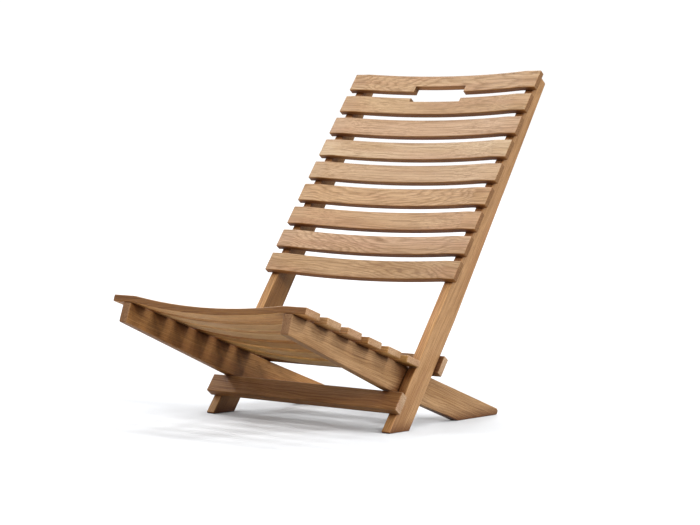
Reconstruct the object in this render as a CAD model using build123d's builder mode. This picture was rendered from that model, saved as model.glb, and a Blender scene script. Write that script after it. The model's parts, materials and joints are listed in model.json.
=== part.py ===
from build123d import *
from math import cos, radians, sin, tan
import os

# Two-piece slatted beach chair in teak. A reclined back frame and a tilted seat frame, each a pair
# of boards on edge joined by curved slats. The seat frame pushes through the back frame between two
# crossbars, and its tails stand on the floor behind.
# Millimetres. X is across the chair, -Y is the side the sitter faces, +Z is up. The origin is on the
# floor, under the middle of the whole chair. Left is -X, right is +X, seen from the front.

# --- driving dimensions -----------------------------------------------------------------------

BACK_ANGLE = radians(36.0)          # recline of the back frame from vertical
SEAT_ANGLE = radians(18.4)          # rise of the seat frame towards the front, from horizontal
FOOT_Y = -118.6                     # where the front face of the stiles meets the floor

BOARD_THICKNESS = 18.0              # stiles and rails, measured across the chair
BOARD_EASE = 2.0                    # rounding of the long edges of every board

STILE_OUTER_X = 212.0               # outer face of each stile
STILE_DEPTH = 50.5                  # lower, parallel part
STILE_TOP_DEPTH = 28.5              # at the top, after the taper on the rear edge
STILE_TAPER_START = 270.0           # distance up the stile where the taper begins
STILE_LENGTH = 804.0                # foot to top, along the front edge
STILE_TOP_RADIUS = 3.5
STILE_TOE_RADIUS = 2.5              # takes the sharp point off the front of the foot

RAIL_OUTER_X = 191.5                # outer face of each seat rail, inside the stiles
RAIL_DEPTH = 53.5                   # rear, parallel part
RAIL_FRONT_DEPTH = 36.5             # at the front, after the taper on the lower edge
RAIL_TAPER_START = 232.0            # distance forward of the sole where the taper begins
RAIL_REACH = 536.5                  # from the start of the sole to the front end
RAIL_TIP_RADIUS = 6.5
RAIL_FRONT_RADIUS = 3.0
TAPER_BLEND_RADIUS = 400.0          # softens the bend where a taper begins

SLAT_WIDTH = 40.5
SLAT_THICKNESS = 12.5
SLAT_EASE = 2.0
SLAT_BLEND_RADIUS = 90.0            # softens the bend where the curve of a slat begins
SLAT_BLEND_REACH = 6.5              # keeps that soft bend clear of the board under the slat

BACK_SLAT_COUNT = 9
BACK_SLAT_LENGTH = 443.0
BACK_SLAT_PITCH = 55.6
BACK_SLAT_SAG = 11.5
LOWEST_BACK_SLAT = 319.0            # its lower edge, distance up the stile

SEAT_SLAT_COUNT = 6
SEAT_SLAT_LENGTH = 435.0
SEAT_SLAT_PITCH = 60.9
SEAT_SLAT_SAG = 12.3

HAND_HOLD_WIDTH = 119.0             # cut from the top slat and the one below it
HAND_HOLD_UPPER_DEPTH = 14.5
HAND_HOLD_LOWER_DEPTH = 9.5
HAND_HOLD_RADIUS = 1.5
HAND_HOLD_OFFSET = -6.5             # it sits a little left of the middle

FRONT_BAR_LENGTH = 438.0
FRONT_BAR_WIDTH = 36.5
FRONT_BAR_THICKNESS = 18.0
REAR_BAR_LENGTH = 443.0
REAR_BAR_WIDTH = 37.0
REAR_BAR_THICKNESS = 14.0

STOP_GAP = 0.3                      # last seat slat to the front of the stiles
REST_GAP = 0.3                      # rails to the front crossbar
SLIDE_GAP = 0.5                     # rails to the rear crossbar

DOWEL_RADIUS = 4.0
DOWEL_GLUE = 0.05                   # glue line around each dowel
DOWEL_IN_BOARD = 19.0
DOWEL_IN_SLAT = 7.0
DOWEL_IN_BAR = 10.0
DOWEL_HOLE_SPARE = 1.0              # each blind hole is this much deeper than its dowel
BAR_DOWEL_SPACING = 18.0

# --- derived places ---------------------------------------------------------------------------

STILE_INNER_X = STILE_OUTER_X - BOARD_THICKNESS
STILE_MIDDLE_X = STILE_OUTER_X - BOARD_THICKNESS / 2
RAIL_INNER_X = RAIL_OUTER_X - BOARD_THICKNESS
RAIL_MIDDLE_X = RAIL_OUTER_X - BOARD_THICKNESS / 2
BACK_CURVE_HALF = STILE_INNER_X - SLAT_BLEND_REACH
SEAT_CURVE_HALF = RAIL_INNER_X - SLAT_BLEND_REACH

ANGLE_BETWEEN = BACK_ANGLE - SEAT_ANGLE
LAST_SLAT_REAR = -RAIL_REACH + (SEAT_SLAT_COUNT - 1) * SEAT_SLAT_PITCH + SLAT_WIDTH

# The rounded lower rear edge of the last seat slat stops just short of the stiles. That settles how
# far behind the stiles' feet the soles of the rails begin.
stop_along = LAST_SLAT_REAR - SLAT_EASE
stop_up = RAIL_DEPTH + SLAT_EASE
stop_height = stop_up * cos(SEAT_ANGLE) - stop_along * sin(SEAT_ANGLE)
stop_rear = (stop_height * sin(BACK_ANGLE) - SLAT_EASE - STOP_GAP) / cos(BACK_ANGLE)
SOLE_OFFSET = stop_rear - stop_along * cos(SEAT_ANGLE) - stop_up * sin(SEAT_ANGLE)
SOLE_Y = FOOT_Y + SOLE_OFFSET


def distance_up_stile(above_rail_sole, out_of_back):
    """Where a point this far above the rails' lower edge and out of the back lies on the stile."""
    drop = SOLE_OFFSET * sin(SEAT_ANGLE)
    return (above_rail_sole + drop - out_of_back * sin(ANGLE_BETWEEN)) / cos(ANGLE_BETWEEN)


# The front crossbar carries the rails on its rounded upper front edge, and the rear crossbar holds
# them down with its rounded lower rear edge.
FRONT_BAR_TOP = BOARD_EASE + distance_up_stile(
    -REST_GAP - BOARD_EASE, FRONT_BAR_THICKNESS - BOARD_EASE
)
REAR_BAR_BOTTOM = -BOARD_EASE + distance_up_stile(
    RAIL_DEPTH + SLIDE_GAP + BOARD_EASE, -STILE_DEPTH - REAR_BAR_THICKNESS + BOARD_EASE
)

# Directions: UP_BACK runs up the stiles and OUT_OF_BACK towards the sitter. ALONG_SEAT runs down the
# rails to the rear and OUT_OF_SEAT upwards from the slats.
UP_BACK = Vector(0, sin(BACK_ANGLE), cos(BACK_ANGLE))
OUT_OF_BACK = Vector(0, -cos(BACK_ANGLE), sin(BACK_ANGLE))
ALONG_SEAT = Vector(0, cos(SEAT_ANGLE), -sin(SEAT_ANGLE))
OUT_OF_SEAT = Vector(0, sin(SEAT_ANGLE), cos(SEAT_ANGLE))
FOOT = Vector(0, FOOT_Y, 0)
SOLE = Vector(0, SOLE_Y, 0)


def back_point(x, up, out=0.0):
    """A point in the back frame: across, up the stiles, and out towards the sitter."""
    return Vector(x, 0, 0) + FOOT + UP_BACK * up + OUT_OF_BACK * out


def seat_point(x, along, out=0.0):
    """A point in the seat frame: across, along the rails to the rear, and out of the seat."""
    return Vector(x, 0, 0) + SOLE + ALONG_SEAT * along + OUT_OF_SEAT * out


def board_plane(x, foot, rearward):
    """The side plane of a board on edge: local x runs rearward and local y along or out of it."""
    return Plane(origin=Vector(x, 0, 0) + foot, x_dir=rearward, z_dir=(1, 0, 0))


# --- dowels -----------------------------------------------------------------------------------

BACK_SLAT_BOTTOMS = [
    LOWEST_BACK_SLAT + step * BACK_SLAT_PITCH for step in reversed(range(BACK_SLAT_COUNT))
]
SEAT_SLAT_FRONTS = [-RAIL_REACH + step * SEAT_SLAT_PITCH for step in range(SEAT_SLAT_COUNT)]
FRONT_BAR_MIDDLE = FRONT_BAR_TOP - FRONT_BAR_WIDTH / 2
REAR_BAR_MIDDLE = REAR_BAR_BOTTOM + REAR_BAR_WIDTH / 2


def across(point_at, board_x, places):
    """A point on each of a frame's two boards, at each of these places along them."""
    return [point_at(side * board_x, place) for side in (-1, 1) for place in places]


def dowel_planes(points, direction):
    """Planes centred on the joints between a board and what is fixed to it, facing out of it."""
    return [Plane(origin=point, x_dir=(1, 0, 0), z_dir=direction) for point in points]


back_slat_joints = dowel_planes(
    across(back_point, STILE_MIDDLE_X, [bottom + SLAT_WIDTH / 2 for bottom in BACK_SLAT_BOTTOMS]),
    OUT_OF_BACK,
)
seat_slat_joints = dowel_planes(
    across(
        lambda x, along: seat_point(x, along, RAIL_DEPTH),
        RAIL_MIDDLE_X,
        [front + SLAT_WIDTH / 2 for front in SEAT_SLAT_FRONTS],
    ),
    OUT_OF_SEAT,
)
front_bar_joints = dowel_planes(
    across(
        back_point,
        STILE_MIDDLE_X,
        [FRONT_BAR_MIDDLE + half * BAR_DOWEL_SPACING / 2 for half in (-1, 1)],
    ),
    OUT_OF_BACK,
)
rear_bar_joints = dowel_planes(
    across(
        lambda x, up: back_point(x, up, -STILE_DEPTH),
        STILE_MIDDLE_X,
        [REAR_BAR_MIDDLE + half * BAR_DOWEL_SPACING / 2 for half in (-1, 1)],
    ),
    -OUT_OF_BACK,
)


def dowel_set(joints, inside, outside, radius, spare=0.0):
    """Round dowels on the joints, or with a spare depth and a larger radius the holes for them."""
    with BuildPart() as dowels:
        for joint in joints:
            with BuildSketch(joint.offset(-inside - spare)):
                Circle(radius)
            extrude(amount=inside + outside + 2 * spare)
    return dowels.part


def dowel_holes(joints, outside):
    """The blind holes that the dowels of these joints are glued into."""
    return dowel_set(
        joints, DOWEL_IN_BOARD, outside, DOWEL_RADIUS + DOWEL_GLUE, DOWEL_HOLE_SPARE
    )


back_slat_holes = dowel_holes(back_slat_joints, DOWEL_IN_SLAT)
seat_slat_holes = dowel_holes(seat_slat_joints, DOWEL_IN_SLAT)
front_bar_holes = dowel_holes(front_bar_joints, DOWEL_IN_BAR)
rear_bar_holes = dowel_holes(rear_bar_joints, DOWEL_IN_BAR)

pieces = []

DOWEL_SETS = {
    "back_slat_dowels": (back_slat_joints, DOWEL_IN_SLAT),
    "seat_slat_dowels": (seat_slat_joints, DOWEL_IN_SLAT),
    "front_crossbar_dowels": (front_bar_joints, DOWEL_IN_BAR),
    "rear_crossbar_dowels": (rear_bar_joints, DOWEL_IN_BAR),
}
for dowels_name, (joints, outside) in DOWEL_SETS.items():
    dowels_part = dowel_set(joints, DOWEL_IN_BOARD, outside, DOWEL_RADIUS)
    dowels_part.label = dowels_name
    pieces.append(dowels_part)

# --- stiles -----------------------------------------------------------------------------------

for side_name, side_x in (("left", -STILE_OUTER_X), ("right", STILE_INNER_X)):
    with BuildPart() as stile:
        with BuildSketch(board_plane(side_x, FOOT, -OUT_OF_BACK)):
            with BuildLine():
                Polyline(
                    (0, 0),
                    (STILE_DEPTH, STILE_DEPTH * tan(BACK_ANGLE)),
                    (STILE_DEPTH, STILE_TAPER_START),
                    (STILE_TOP_DEPTH, STILE_LENGTH),
                    (0, STILE_LENGTH),
                    close=True,
                )
            stile_profile = make_face()
            taper_corner = stile_profile.vertices().group_by(Axis.Y)[-2]
            fillet(taper_corner, radius=TAPER_BLEND_RADIUS)
            fillet(vertices().group_by(Axis.Y)[-1], radius=STILE_TOP_RADIUS)
            fillet(vertices().group_by(Axis.Y)[0], radius=STILE_TOE_RADIUS)
        extrude(amount=BOARD_THICKNESS)
        fillet(stile.faces().filter_by(Axis.X).edges(), radius=BOARD_EASE)
        add([back_slat_holes, front_bar_holes, rear_bar_holes], mode=Mode.SUBTRACT)
    stile.part.label = side_name + "_stile"
    pieces.append(stile.part)

# --- seat rails -------------------------------------------------------------------------------

for side_name, side_x in (("left", -RAIL_OUTER_X), ("right", RAIL_INNER_X)):
    with BuildPart() as rail:
        with BuildSketch(board_plane(side_x, SOLE, ALONG_SEAT)):
            with BuildLine():
                Polyline(
                    (0, 0),
                    (RAIL_DEPTH / tan(SEAT_ANGLE), RAIL_DEPTH),
                    (-RAIL_REACH, RAIL_DEPTH),
                    (-RAIL_REACH, RAIL_DEPTH - RAIL_FRONT_DEPTH),
                    (-RAIL_TAPER_START, 0),
                    close=True,
                )
            rail_profile = make_face()
            rail_corners = rail_profile.vertices().sort_by(Axis.X)
            fillet(rail_corners[:2], radius=RAIL_FRONT_RADIUS)
            fillet(vertices().sort_by(Axis.X)[-1], radius=RAIL_TIP_RADIUS)
            taper_corner = vertices().sort_by_distance((-RAIL_TAPER_START, 0))[0]
            fillet(taper_corner, radius=TAPER_BLEND_RADIUS)
        extrude(amount=BOARD_THICKNESS)
        fillet(rail.faces().filter_by(Axis.X).edges(), radius=BOARD_EASE)
        add(seat_slat_holes, mode=Mode.SUBTRACT)
    rail.part.label = side_name + "_seat_rail"
    pieces.append(rail.part)

# --- crossbars --------------------------------------------------------------------------------

CROSSBARS = {
    "front_crossbar": (
        FRONT_BAR_LENGTH, FRONT_BAR_WIDTH, FRONT_BAR_THICKNESS, FRONT_BAR_MIDDLE, 0.0,
        front_bar_holes,
    ),
    "rear_crossbar": (
        REAR_BAR_LENGTH, REAR_BAR_WIDTH, REAR_BAR_THICKNESS, REAR_BAR_MIDDLE,
        -STILE_DEPTH - REAR_BAR_THICKNESS, rear_bar_holes,
    ),
}
for bar_name, (length, width, thickness, middle, back_face, holes) in CROSSBARS.items():
    bar_plane = Plane(origin=back_point(0, middle, back_face), x_dir=(1, 0, 0), z_dir=OUT_OF_BACK)
    with BuildPart() as crossbar:
        with BuildSketch(bar_plane):
            Rectangle(length, width)
        extrude(amount=thickness)
        fillet(crossbar.edges(), radius=BOARD_EASE)
        add(holes, mode=Mode.SUBTRACT)
    crossbar.part.label = bar_name
    pieces.append(crossbar.part)

# --- slats ------------------------------------------------------------------------------------


def curved_slat(name, length, sag, curve_half, upper_edge, holes, notch=None):
    """A bent slat: flat over each board and hollowed between them. Its outline is drawn across the
    chair (local x) and out of the frame (local y), and extruded over its width. A notch is part of the
    hand-hold: how far down the slat the edge is that it is cut into, and its depth."""
    with BuildPart() as slat:
        with BuildSketch(upper_edge):
            with BuildLine():
                front = Polyline(
                    (curve_half, SLAT_THICKNESS),
                    (length / 2, SLAT_THICKNESS),
                    (length / 2, 0),
                    (curve_half, 0),
                )
                ThreePointArc(front @ 1, (0, -sag), (-curve_half, 0))
                rear = Polyline(
                    (-curve_half, 0),
                    (-length / 2, 0),
                    (-length / 2, SLAT_THICKNESS),
                    (-curve_half, SLAT_THICKNESS),
                )
                ThreePointArc(rear @ 1, (0, SLAT_THICKNESS - sag), front @ 0)
            outline = make_face()
            left_bend, right_bend = outline.vertices().group_by(Axis.X)[1:3]
            fillet(left_bend + right_bend, radius=SLAT_BLEND_RADIUS)
            corners = vertices().group_by(Axis.X)
            fillet(corners[0] + corners[-1], radius=SLAT_EASE)
        extrude(amount=SLAT_WIDTH)
        fillet(slat.faces().filter_by(upper_edge).edges(), radius=SLAT_EASE)
        if notch is not None:
            edge_below, depth = notch
            with BuildSketch(Plane(upper_edge.origin, x_dir=(1, 0, 0), z_dir=OUT_OF_BACK)):
                with Locations((HAND_HOLD_OFFSET, -edge_below)):
                    RectangleRounded(HAND_HOLD_WIDTH, 2 * depth, HAND_HOLD_RADIUS)
            extrude(amount=2 * SLAT_THICKNESS, both=True, mode=Mode.SUBTRACT)
        add(holes, mode=Mode.SUBTRACT)
    slat.part.label = name
    return slat.part


NOTCHES = {1: (SLAT_WIDTH, HAND_HOLD_UPPER_DEPTH), 2: (0.0, HAND_HOLD_LOWER_DEPTH)}

for number, bottom in enumerate(BACK_SLAT_BOTTOMS, start=1):
    upper_edge = Plane(
        origin=back_point(0, bottom + SLAT_WIDTH), x_dir=(1, 0, 0), z_dir=-UP_BACK
    )
    pieces.append(
        curved_slat(
            f"back_slat_{number}", BACK_SLAT_LENGTH, BACK_SLAT_SAG, BACK_CURVE_HALF, upper_edge,
            back_slat_holes, NOTCHES.get(number),
        )
    )

for number, front in enumerate(SEAT_SLAT_FRONTS, start=1):
    rear_edge = Plane(
        origin=seat_point(0, front + SLAT_WIDTH, RAIL_DEPTH), x_dir=(1, 0, 0), z_dir=-ALONG_SEAT
    )
    pieces.append(
        curved_slat(
            f"seat_slat_{number}", SEAT_SLAT_LENGTH, SEAT_SLAT_SAG, SEAT_CURVE_HALF, rear_edge,
            seat_slat_holes,
        )
    )

os.makedirs("parts", exist_ok=True)
for piece in pieces:
    export_step(piece, f"parts/{piece.label}.step")
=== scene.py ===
import json
import math

import bpy
from mathutils import Matrix, Quaternion, Vector


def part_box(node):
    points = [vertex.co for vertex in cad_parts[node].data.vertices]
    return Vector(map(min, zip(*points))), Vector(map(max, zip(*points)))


# A slatted teak beach chair on a plain pale floor in soft studio light. Every board is a node of the
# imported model, shown as it is, with solid teak grown through it: the growth rings, fibres and pores are
# worked out in each board's own directions, so that its long faces show grain and its ends show end
# grain. Lengths are in metres and named angles in degrees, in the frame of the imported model: the sitter
# faces -Y.

RECLINE = 36.0                          # back frame from vertical
ACROSS = Vector((1, 0, 0))
UP_BACK = Vector((0, math.sin(math.radians(RECLINE)), math.cos(math.radians(RECLINE))))

CAMERA_AZIMUTH = 37.14
CAMERA_ELEVATION = 2.40
CAMERA_ROLL = 1.02
CAMERA_DISTANCE = 3.546
CAMERA_TARGET = Vector((0.0414, -0.0138, 0.2902))
CAMERA_LENS = 99.6                      # millimetres, as is the sensor
SENSOR_WIDTH = 36.0

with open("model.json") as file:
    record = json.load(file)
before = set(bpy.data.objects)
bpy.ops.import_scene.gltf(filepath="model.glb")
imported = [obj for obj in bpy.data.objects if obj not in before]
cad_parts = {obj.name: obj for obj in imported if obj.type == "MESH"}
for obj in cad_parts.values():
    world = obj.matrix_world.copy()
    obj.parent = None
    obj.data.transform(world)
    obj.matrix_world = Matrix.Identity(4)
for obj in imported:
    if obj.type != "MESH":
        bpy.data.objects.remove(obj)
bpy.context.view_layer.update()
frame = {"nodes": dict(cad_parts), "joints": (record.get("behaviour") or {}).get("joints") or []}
nodes = frame["nodes"]


def direction(azimuth, elevation):
    """The direction towards something. Azimuth 0 is in front (-Y), 90 to the right (+X)."""
    turn, rise = math.radians(azimuth), math.radians(elevation)
    return Vector((math.sin(turn) * math.cos(rise), -math.cos(turn) * math.cos(rise), math.sin(rise)))


# --- shader building ----------------------------------------------------------------------------


def add_node(tree, kind, inputs=None, **settings):
    """Adds a node. Each input is a socket to link from, or a value to set."""
    node = tree.nodes.new(kind)
    for setting, value in settings.items():
        setattr(node, setting, value)
    for name, value in (inputs or {}).items():
        if isinstance(value, bpy.types.NodeSocket):
            tree.links.new(value, node.inputs[name])
        else:
            node.inputs[name].default_value = value
    return node


def calculate(tree, operation, first, second=0.0, third=0.0):
    """The result of one Math node."""
    node = add_node(tree, "ShaderNodeMath", {0: first, 1: second, 2: third}, operation=operation)
    return node.outputs["Value"]


def calculate_vector(tree, operation, first, second=(0.0, 0.0, 0.0), output="Vector"):
    """The result of one Vector Math node."""
    node = add_node(tree, "ShaderNodeVectorMath", {0: first, 1: second}, operation=operation)
    return node.outputs[output]


def remap(tree, value, span, to_span=(0.0, 1.0)):
    """Value from one span brought smoothly to another and held there."""
    node = add_node(
        tree,
        "ShaderNodeMapRange",
        {
            "Value": value,
            "From Min": span[0],
            "From Max": span[1],
            "To Min": to_span[0],
            "To Max": to_span[1],
        },
        interpolation_type="SMOOTHSTEP",
    )
    return node.outputs["Result"]


def mix_colours(tree, factor, first, second, blend="MIX"):
    """Two colours mixed by a factor."""
    node = add_node(tree, "ShaderNodeMix", data_type="RGBA", blend_type=blend)
    named = {socket.identifier: socket for socket in node.inputs}
    for identifier, value in (("Factor_Float", factor), ("A_Color", first), ("B_Color", second)):
        if isinstance(value, bpy.types.NodeSocket):
            tree.links.new(value, named[identifier])
        else:
            named[identifier].default_value = value if identifier == "Factor_Float" else (*value, 1)
    return next(socket for socket in node.outputs if socket.identifier == "Result_Color")


def stretched_noise(tree, place, scale, detail=2.0, roughness=0.5, output="Fac"):
    """Noise with its own number of features per metre along, across and through the board."""
    noise = add_node(
        tree,
        "ShaderNodeTexNoise",
        {
            "Vector": calculate_vector(tree, "MULTIPLY", place, scale),
            "Scale": 1.0,
            "Detail": detail,
            "Roughness": roughness,
        },
        normalize=True,
    )
    return noise.outputs[output]


# --- teak ---------------------------------------------------------------------------------------

HEART_DISTANCE = 0.11                   # from the middle of each board to the heart of its trunk
BOARD_LENGTH = 0.8                      # the boards follow each other along the trunk
TRUNK_SWAY = (0.0, 0.024, 0.024)        # the trunk isn't straight: it wanders in a band this wide
RING_SPACING = 0.0025                   # one year's growth
RING_UNEVENNESS = 2.6                   # the rings aren't round: by so many years' growth
RING_STOPS = ((0.0, 0.85), (0.10, 1.0), (0.30, 0.35), (0.65, 0.05), (0.88, 0.25), (1.0, 0.85))

# Features per metre: along the trunk, and in both directions across it.
SWAY_SCALE = (3.6, 13.0, 13.0)
UNEVENNESS_SCALE = (1.5, 60.0, 60.0)
FIBRE_SCALE = (5.0, 330.0, 330.0)
FINE_FIBRE_SCALE = (9.0, 850.0, 850.0)
PORE_SCALE = (110.0, 2600.0, 2600.0)
BROAD_SCALE = (3.5, 34.0, 34.0)
HUE_SCALE = (2.5, 22.0, 22.0)

# The span of the noise over which each thing comes in, and how strongly it then shows.
HUE_SPAN = (0.38, 0.62)
PALE_SPAN = (0.35, 0.65)
FIBRE_SPAN, FIBRE_SHARE = (0.46, 0.68), 0.62
FINE_FIBRE_SPAN, FINE_FIBRE_SHARE = (0.45, 0.65), 0.45
PORE_SPAN = (0.60, 0.70)
PORES_IN_LATE_WOOD, MORE_PORES_IN_RINGS = 0.25, 0.55
RING_SPAN, RING_SHARES = (0.3, 0.7), (0.74, 0.44)

PALE = (0.336, 0.222, 0.133)
HONEY = (0.282, 0.173, 0.091)
ROSY = (0.303, 0.178, 0.108)
RING_BROWN = (0.135, 0.070, 0.031)
PORE_BROWN = (0.066, 0.033, 0.015)

SMOOTH_ROUGHNESS, ROUGHER_IN_RINGS, ROUGHER_AT_ENDS = 0.50, 0.10, 0.20
RING_DEPTH, PORE_DEPTH, FIBRE_DEPTH = 0.35, 0.9, 0.5
GROOVE_DEPTH, GROOVE_STRENGTH = 0.0004, 0.6
SPECULAR = 0.15                         # bare wood hardly shines

FACING_SPAN = (0.35, 0.90)              # across the rounding from one face of a board to the next
UPWARD_TINT_SPAN = (0.65, 0.85)              # faces that look up get one plain tint; the tones of the other faces carry painted shade
UPWARD_TINT = (1.02, 0.98, 0.90)
# Painted shade in the crevices: the wood is darker where other boards close it in.
CREVICE_SHADE_REACH = 0.035                   # painted shade darkens the wood this close to another board
CREVICE_SPAN = (0.45, 0.95)             # from closed in to open
CREVICE_SHADE_SHARE = 0.95
CREVICE_SHADE_TONE = (0.32, 0.18, 0.07)


def place_in_growth(tree, place):
    """Where a place in the swaying trunk would be in a straight one."""
    sway = stretched_noise(tree, place, SWAY_SCALE, detail=3.0, output="Color")
    centred = calculate_vector(tree, "SUBTRACT", sway, (0.5, 0.5, 0.5))
    wander = calculate_vector(tree, "MULTIPLY", centred, TRUNK_SWAY)
    return calculate_vector(tree, "ADD", place, wander)


def growth_rings(tree, grown):
    """A porous dark line at the start of each year, 1 at its darkest, that fades into late wood."""
    from_heart = calculate_vector(tree, "MULTIPLY", grown, (0.0, 1.0, 1.0))
    radius = calculate_vector(tree, "LENGTH", from_heart, output="Value")
    years = calculate(tree, "DIVIDE", radius, RING_SPACING)
    uneven = stretched_noise(tree, grown, UNEVENNESS_SCALE, detail=1.0)
    years = calculate(tree, "MULTIPLY_ADD", uneven, RING_UNEVENNESS, years)
    ramp = add_node(tree, "ShaderNodeValToRGB", {"Fac": calculate(tree, "FRACT", years)})
    ramp.color_ramp.interpolation = "B_SPLINE"
    elements = ramp.color_ramp.elements
    elements[0].position, elements[1].position = RING_STOPS[0][0], RING_STOPS[-1][0]
    for position, _ in RING_STOPS[1:-1]:
        elements.new(position)
    for element, (_, value) in zip(elements, RING_STOPS):
        element.color = (value, value, value, 1)
    return ramp.outputs["Color"]


def teak_group():
    """Solid teak as a node group. Place is in metres from the heart of the tree: x along the trunk.
    End is 1 where the surface cuts across the grain."""
    tree = bpy.data.node_groups.new("teak", "ShaderNodeTree")
    for name, kind in (("Place", "NodeSocketVector"), ("End", "NodeSocketFloat")):
        tree.interface.new_socket(name, in_out="INPUT", socket_type=kind)
    for name, kind in (
        ("Color", "NodeSocketColor"),
        ("Roughness", "NodeSocketFloat"),
        ("Height", "NodeSocketFloat"),
    ):
        tree.interface.new_socket(name, in_out="OUTPUT", socket_type=kind)
    given = add_node(tree, "NodeGroupInput")
    grown = place_in_growth(tree, given.outputs["Place"])
    ring = growth_rings(tree, grown)

    fibres = stretched_noise(tree, grown, FIBRE_SCALE, detail=3.0, roughness=0.6)
    fibre_share = calculate(tree, "MULTIPLY", remap(tree, fibres, FIBRE_SPAN), FIBRE_SHARE)
    fine_fibres = stretched_noise(tree, grown, FINE_FIBRE_SCALE)
    fine_share = calculate(tree, "MULTIPLY", remap(tree, fine_fibres, FINE_FIBRE_SPAN), FINE_FIBRE_SHARE)
    pores = stretched_noise(tree, grown, PORE_SCALE, detail=1.0)
    pore_strength = calculate(tree, "MULTIPLY_ADD", ring, MORE_PORES_IN_RINGS, PORES_IN_LATE_WOOD)
    pore_share = calculate(tree, "MULTIPLY", remap(tree, pores, PORE_SPAN), pore_strength)
    broad = stretched_noise(tree, grown, BROAD_SCALE)
    ring_share = calculate(tree, "MULTIPLY", ring, remap(tree, broad, RING_SPAN, RING_SHARES))
    hue = stretched_noise(tree, grown, HUE_SCALE)

    colour = mix_colours(tree, remap(tree, hue, HUE_SPAN), HONEY, ROSY)
    colour = mix_colours(tree, remap(tree, broad, PALE_SPAN), colour, PALE)
    colour = mix_colours(tree, fibre_share, colour, RING_BROWN)
    colour = mix_colours(tree, ring_share, colour, RING_BROWN)
    colour = mix_colours(tree, fine_share, colour, RING_BROWN)
    colour = mix_colours(tree, pore_share, colour, PORE_BROWN)

    roughness = calculate(tree, "MULTIPLY_ADD", ring, ROUGHER_IN_RINGS, SMOOTH_ROUGHNESS)
    roughness = calculate(tree, "MULTIPLY_ADD", given.outputs["End"], ROUGHER_AT_ENDS, roughness)
    height = calculate(tree, "MULTIPLY_ADD", ring, -RING_DEPTH, 1.0)
    height = calculate(tree, "MULTIPLY_ADD", pore_share, -PORE_DEPTH, height)
    height = calculate(tree, "MULTIPLY_ADD", fibre_share, -FIBRE_DEPTH, height)
    add_node(tree, "NodeGroupOutput", {"Color": colour, "Roughness": roughness, "Height": height})
    return tree


TEAK = teak_group()


def place_in_trunk(tree, position, number, centre, along, across, cut):
    """Where a position on a board was in the trunk. The numbered boards lie along the trunk. Cut is how
    far round it the board was sawn, from flat sawn at 0 to quarter sawn at 90, and the slope of its
    grain, both in degrees."""
    around, slope = (math.radians(angle) for angle in cut)
    board = Matrix((along, across, along.cross(across)))
    turned = Matrix.Rotation(-slope, 3, "Y") @ board
    in_trunk = Vector(
        (
            number * BOARD_LENGTH,
            HEART_DISTANCE * math.sin(around),
            HEART_DISTANCE * math.cos(around),
        )
    )
    mapping = add_node(
        tree,
        "ShaderNodeMapping",
        {
            "Vector": position,
            "Rotation": turned.to_euler(),
            "Location": in_trunk - turned @ centre,
        },
        vector_type="POINT",
    )
    return mapping.outputs["Vector"]


def share_facing(tree, normal, way):
    """How much of the surface faces a way or its opposite: 1 square to it, 0 well away from it."""
    facing = calculate_vector(tree, "DOT_PRODUCT", normal, way, output="Value")
    return remap(tree, calculate(tree, "ABSOLUTE", facing), FACING_SPAN)


def tint_of_side(tree, normal, edge, end, tones):
    """The tint of each side of a board: its faces, given one plain tint where they look up, its edges,
    its ends. The tones elsewhere carry painted shade.
    """
    face_tone, edge_tone, end_tone = tones
    upward = add_node(tree, "ShaderNodeSeparateXYZ", {"Vector": normal}).outputs["Z"]
    tint = mix_colours(tree, edge, face_tone, edge_tone)
    tint = mix_colours(tree, remap(tree, upward, UPWARD_TINT_SPAN), tint, UPWARD_TINT)
    return mix_colours(tree, end, tint, end_tone)


def painted_shade_in_crevices(tree, colour):
    """The colour with painted shade, darkened where other boards are near."""
    openness = add_node(tree, "ShaderNodeAmbientOcclusion", {"Distance": CREVICE_SHADE_REACH}, samples=8)
    crevice_shade = remap(tree, openness.outputs["AO"], CREVICE_SPAN, (CREVICE_SHADE_SHARE, 0.0))
    darkened = mix_colours(tree, 1.0, colour, CREVICE_SHADE_TONE, blend="MULTIPLY")
    return mix_colours(tree, crevice_shade, colour, darkened)


def teak_material(name, number, centre, along, across, cut, tones):
    """Teak for one board. The tones tint its faces, its narrow edges and its ends, partly as boards from
    different trees differ and partly as painted shade."""
    material = bpy.data.materials.new(name)
    material.use_nodes = True
    tree = material.node_tree
    tree.nodes.clear()
    coordinates = add_node(tree, "ShaderNodeTexCoord")
    normal = coordinates.outputs["Normal"]
    place = place_in_trunk(tree, coordinates.outputs["Object"], number, centre, along, across, cut)
    edge = share_facing(tree, normal, across)
    end = share_facing(tree, normal, along)
    wood = add_node(tree, "ShaderNodeGroup", {"Place": place, "End": end}, node_tree=TEAK)
    tint = tint_of_side(tree, normal, edge, end, tones)
    colour = mix_colours(tree, 1.0, wood.outputs["Color"], tint, blend="MULTIPLY")
    grooves = add_node(
        tree,
        "ShaderNodeBump",
        {"Strength": GROOVE_STRENGTH, "Distance": GROOVE_DEPTH, "Height": wood.outputs["Height"]},
    )
    shader = add_node(
        tree,
        "ShaderNodeBsdfPrincipled",
        {
            "Base Color": painted_shade_in_crevices(tree, colour),
            "Roughness": wood.outputs["Roughness"],
            "Normal": grooves.outputs["Normal"],
            "Specular IOR Level": SPECULAR,
        },
    )
    add_node(tree, "ShaderNodeOutputMaterial", {"Surface": shader.outputs["BSDF"]})
    return material


# --- boards -------------------------------------------------------------------------------------

slide = frame["joints"][0]
ALONG_SEAT = -Vector(slide["axis"]).normalized()
OUT_OF_BACK = ACROSS.cross(UP_BACK)
OUT_OF_SEAT = ACROSS.cross(ALONG_SEAT)
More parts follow.
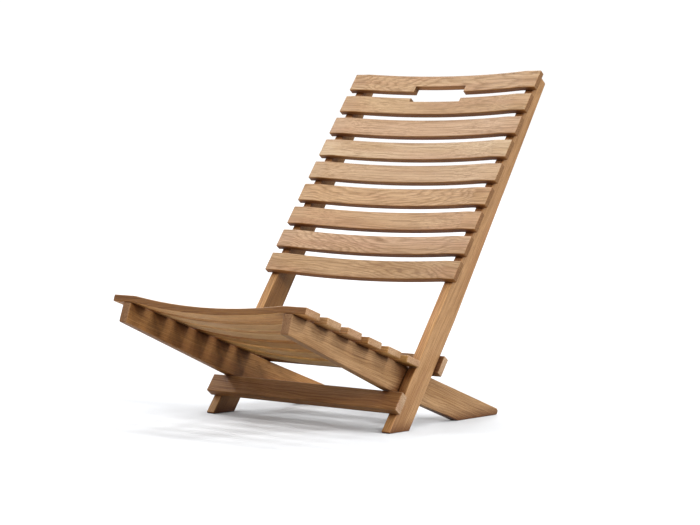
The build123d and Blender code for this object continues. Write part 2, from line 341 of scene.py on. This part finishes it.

# Each board has a tone, and a cut: how far round the trunk from flat sawn, and the slope of its grain,
# both in degrees. Boards cut near flat sawn show wide curved figure, the others close straight lines.
# The tones are partly each board's own colour and partly painted shade: boards that lie in shade, such
# as the left stile, the left seat rail and the crossbars, have darker tones, and the seat slats deeper
# orange ones for their shaded undersides. The back slats are listed from the top down, the seat slats
# from the front backwards.
BACK_SLATS = (
    ((1.08, 1.09, 1.03), (3, -2.0)),
    ((1.12, 1.16, 1.10), (70, 1.0)),
    ((1.12, 1.14, 1.19), (64, -1.5)),
    ((1.24, 1.38, 1.47), (74, 0.5)),
    ((1.12, 1.17, 1.19), (70, -0.8)),
    ((1.08, 1.06, 0.97), (-17, 2.6)),
    ((1.08, 1.07, 1.00), (62, 1.2)),
    ((1.09, 1.11, 1.14), (-21, -3.0)),
    ((0.93, 0.90, 0.79), (22, 3.0)),
)
SEAT_SLATS = (
    ((1.45, 1.18, 0.70), (40, -1.0)),
    ((1.46, 1.35, 0.99), (28, 1.5)),
    ((1.41, 1.32, 1.00), (-50, 0.6)),
    ((1.05, 0.80, 0.39), (35, -1.8)),
    ((1.52, 1.34, 0.82), (60, 1.0)),
    ((1.40, 1.25, 0.65), (-30, -0.8)),
)
FRAME_BOARDS = {
    "left_stile": ((0.57, 0.43, 0.24), (-52, 0.8)),
    "right_stile": ((0.85, 0.74, 0.56), (56, -0.7)),
    "left_seat_rail": ((0.79, 0.59, 0.33), (-66, 0.7)),
    "right_seat_rail": ((0.79, 0.71, 0.56), (62, -0.6)),
    "front_crossbar": ((0.69, 0.52, 0.33), (42, 0.9)),
    "rear_crossbar": ((0.61, 0.48, 0.33), (-60, 0.7)),
}
DOWEL_TONE = (0.9, 0.85, 0.8)
DOWEL_CUT = (0, 0)

# The boards' numbers along the trunk. The back slats come first, from 1.
FIRST_SEAT_SLAT = 21
FIRST_FRAME_BOARD = 40
FIRST_DOWELS = 60

# Ends have tones of their own, mostly darker than the faces. Most edges are a share of the board's own
# tone: on the slats that share is painted shade, where their edges lie in shade. The stiles' edges have a
# tone of their own, as pale as the slats.
BACK_SLAT_ENDS = (0.50, 0.40, 0.28)
BACK_SLAT_EDGE_PAINTED_SHADE = (0.92, 0.64, 0.32)
SEAT_SLAT_ENDS = (0.94, 0.92, 0.88)
SEAT_SLAT_EDGE_PAINTED_SHADE = (0.76, 0.71, 0.66)
FRONT_EDGE_PAINTED_SHADE = (0.31, 0.26, 0.22)   # painted shade, darkest on the front slat's front edge
STILE_EDGES = (1.12, 0.96, 0.66)
FRAME_EDGE_SHADE = (1.00, 0.95, 0.80)
FRAME_ENDS = (0.54, 0.44, 0.35)
CROSSBAR_ENDS = (0.92, 0.96, 1.02)


def shaded(tone, shade):
    """A tone with a share of each of its colours."""
    return tuple(part * share for part, share in zip(tone, shade))


def cover(name, number, along, across, cut, tones):
    """Gives a node its own teak, with the grain running along it."""
    node = nodes[name]
    low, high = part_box(name)
    teak = teak_material(name + "_teak", number, (low + high) / 2, along, across, cut, tones)
    node.data.materials.clear()
    node.data.materials.append(teak)


def cover_back_slats():
    """The back slats, with darker ends and painted shade on their edges."""
    for number, (tone, cut) in enumerate(BACK_SLATS, start=1):
        tones = (tone, shaded(tone, BACK_SLAT_EDGE_PAINTED_SHADE), BACK_SLAT_ENDS)
        cover(f"back_slat_{number}", number, ACROSS, UP_BACK, cut, tones)


def cover_seat_slats():
    """The seat slats, with painted shade on their edges, darkest on the front one."""
    for index, (tone, cut) in enumerate(SEAT_SLATS):
        edge_painted_shade = SEAT_SLAT_EDGE_PAINTED_SHADE if index else FRONT_EDGE_PAINTED_SHADE
        tones = (tone, shaded(tone, edge_painted_shade), SEAT_SLAT_ENDS)
        cover(f"seat_slat_{index + 1}", FIRST_SEAT_SLAT + index, ACROSS, ALONG_SEAT, cut, tones)


def cover_frame_boards():
    """The stiles, the seat rails and the crossbars."""
    for number, (name, (tone, cut)) in enumerate(FRAME_BOARDS.items(), start=FIRST_FRAME_BOARD):
        edges = shaded(tone, FRAME_EDGE_SHADE)
        if name.endswith("stile"):
            cover(name, number, UP_BACK, OUT_OF_BACK, cut, (tone, STILE_EDGES, FRAME_ENDS))
        elif name.endswith("rail"):
            cover(name, number, ALONG_SEAT, OUT_OF_SEAT, cut, (tone, edges, FRAME_ENDS))
        else:
            cover(name, number, ACROSS, UP_BACK, cut, (tone, edges, CROSSBAR_ENDS))


def cover_dowels():
    """The hidden dowels, with the grain along them."""
    dowels = sorted(name for name in nodes if name.endswith("dowels"))
    for number, name in enumerate(dowels, start=FIRST_DOWELS):
        into = OUT_OF_SEAT if name.startswith("seat") else OUT_OF_BACK
        cover(name, number, into, ACROSS, DOWEL_CUT, (DOWEL_TONE, DOWEL_TONE, DOWEL_TONE))


cover_back_slats()
cover_seat_slats()
cover_frame_boards()
cover_dowels()

# --- floor --------------------------------------------------------------------------------------

FLOOR_HALF = 60.0
FLOOR_PAINT = (0.452, 0.459, 0.470, 1)
FLOOR_ROUGHNESS = 0.9

mesh = bpy.data.meshes.new("floor")
corners = [(-1, -1), (1, -1), (1, 1), (-1, 1)]
mesh.from_pydata([(x * FLOOR_HALF, y * FLOOR_HALF, 0.0) for x, y in corners], [], [(0, 1, 2, 3)])
floor = bpy.data.objects.new("floor", mesh)
bpy.context.scene.collection.objects.link(floor)
floor_paint = bpy.data.materials.new("floor_white")
floor_paint.use_nodes = True
floor_shader = floor_paint.node_tree.nodes["Principled BSDF"]
floor_shader.inputs["Base Color"].default_value = FLOOR_PAINT
floor_shader.inputs["Roughness"].default_value = FLOOR_ROUGHNESS
floor_shader.inputs["Specular IOR Level"].default_value = 0.0
mesh.materials.append(floor_paint)

# --- light --------------------------------------------------------------------------------------

# Azimuth, elevation and spread in degrees, and strength. More of the light comes from behind than from
# the front, and the strongest lights are on the right, but some comes from every side, so that the
# chair's shadows are faint and lie all round it.
STUDIO_LIGHTS = {
    "front_low": (0, 14, 14, 0.54),
    "front": (340, 34, 10, 0.90),
    "front_high": (358, 48, 9, 1.02),
    "front_right": (32, 48, 10, 0.90),
    "front_right_side": (60, 26, 12, 1.75),
    "right_low": (90, 14, 14, 1.44),
    "rear_right_low": (120, 14, 22, 0.90),
    "rear_right": (118, 37, 11, 1.90),
    "rear_right_high": (120, 64, 9, 0.52),
    "rear": (180, 32, 10, 0.71),
    "rear_high": (165, 68, 11, 0.60),
    "rear_left_low": (240, 14, 20, 1.17),
    "rear_left": (240, 38, 12, 1.05),
    "rear_left_high": (240, 64, 9, 1.19),
    "left_low": (270, 14, 14, 0.80),
    "left": (270, 40, 12, 0.75),
    "front_left": (302, 42, 12, 0.38),
}
LIGHT_DISTANCE = 5.0                    # keeps the lamps apart: a sun shines the same from anywhere
BACKDROP_STRENGTH = 1.05                # a white backdrop that is seen but sheds no light


def add_sun(name, azimuth, elevation, spread, strength):
    """A soft light from far away."""
    light = bpy.data.lights.new(name, "SUN")
    light.energy = strength
    light.angle = math.radians(spread)
    lamp = bpy.data.objects.new(name, light)
    towards_light = direction(azimuth, elevation)
    lamp.rotation_mode = "QUATERNION"
    lamp.rotation_quaternion = towards_light.to_track_quat("Z", "Y")
    lamp.location = towards_light * LIGHT_DISTANCE
    bpy.context.scene.collection.objects.link(lamp)


for name, (azimuth, elevation, spread, strength) in STUDIO_LIGHTS.items():
    add_sun(name, azimuth, elevation, spread, strength)

world = bpy.data.worlds.new("studio")
bpy.context.scene.world = world
world.use_nodes = True
studio = world.node_tree
studio.nodes.clear()
seen = add_node(studio, "ShaderNodeLightPath").outputs["Is Camera Ray"]
backdrop_strength = calculate(studio, "MULTIPLY", seen, BACKDROP_STRENGTH)
backdrop = add_node(
    studio,
    "ShaderNodeBackground",
    {"Color": (1, 1, 1, 1), "Strength": backdrop_strength},
)
add_node(studio, "ShaderNodeOutputWorld", {"Surface": backdrop.outputs["Background"]})

# --- camera -------------------------------------------------------------------------------------

towards_camera = direction(CAMERA_AZIMUTH, CAMERA_ELEVATION)
camera_data = bpy.data.cameras.new("camera")
camera_data.lens = CAMERA_LENS
camera_data.sensor_width = SENSOR_WIDTH
camera = bpy.data.objects.new("camera", camera_data)
bpy.context.scene.collection.objects.link(camera)
camera.location = CAMERA_TARGET + towards_camera * CAMERA_DISTANCE
camera.rotation_mode = "QUATERNION"
level = towards_camera.to_track_quat("Z", "Y")
camera.rotation_quaternion = level @ Quaternion((0, 0, 1), math.radians(CAMERA_ROLL))
bpy.context.scene.camera = camera
bpy.context.scene.view_settings.view_transform = "Standard"
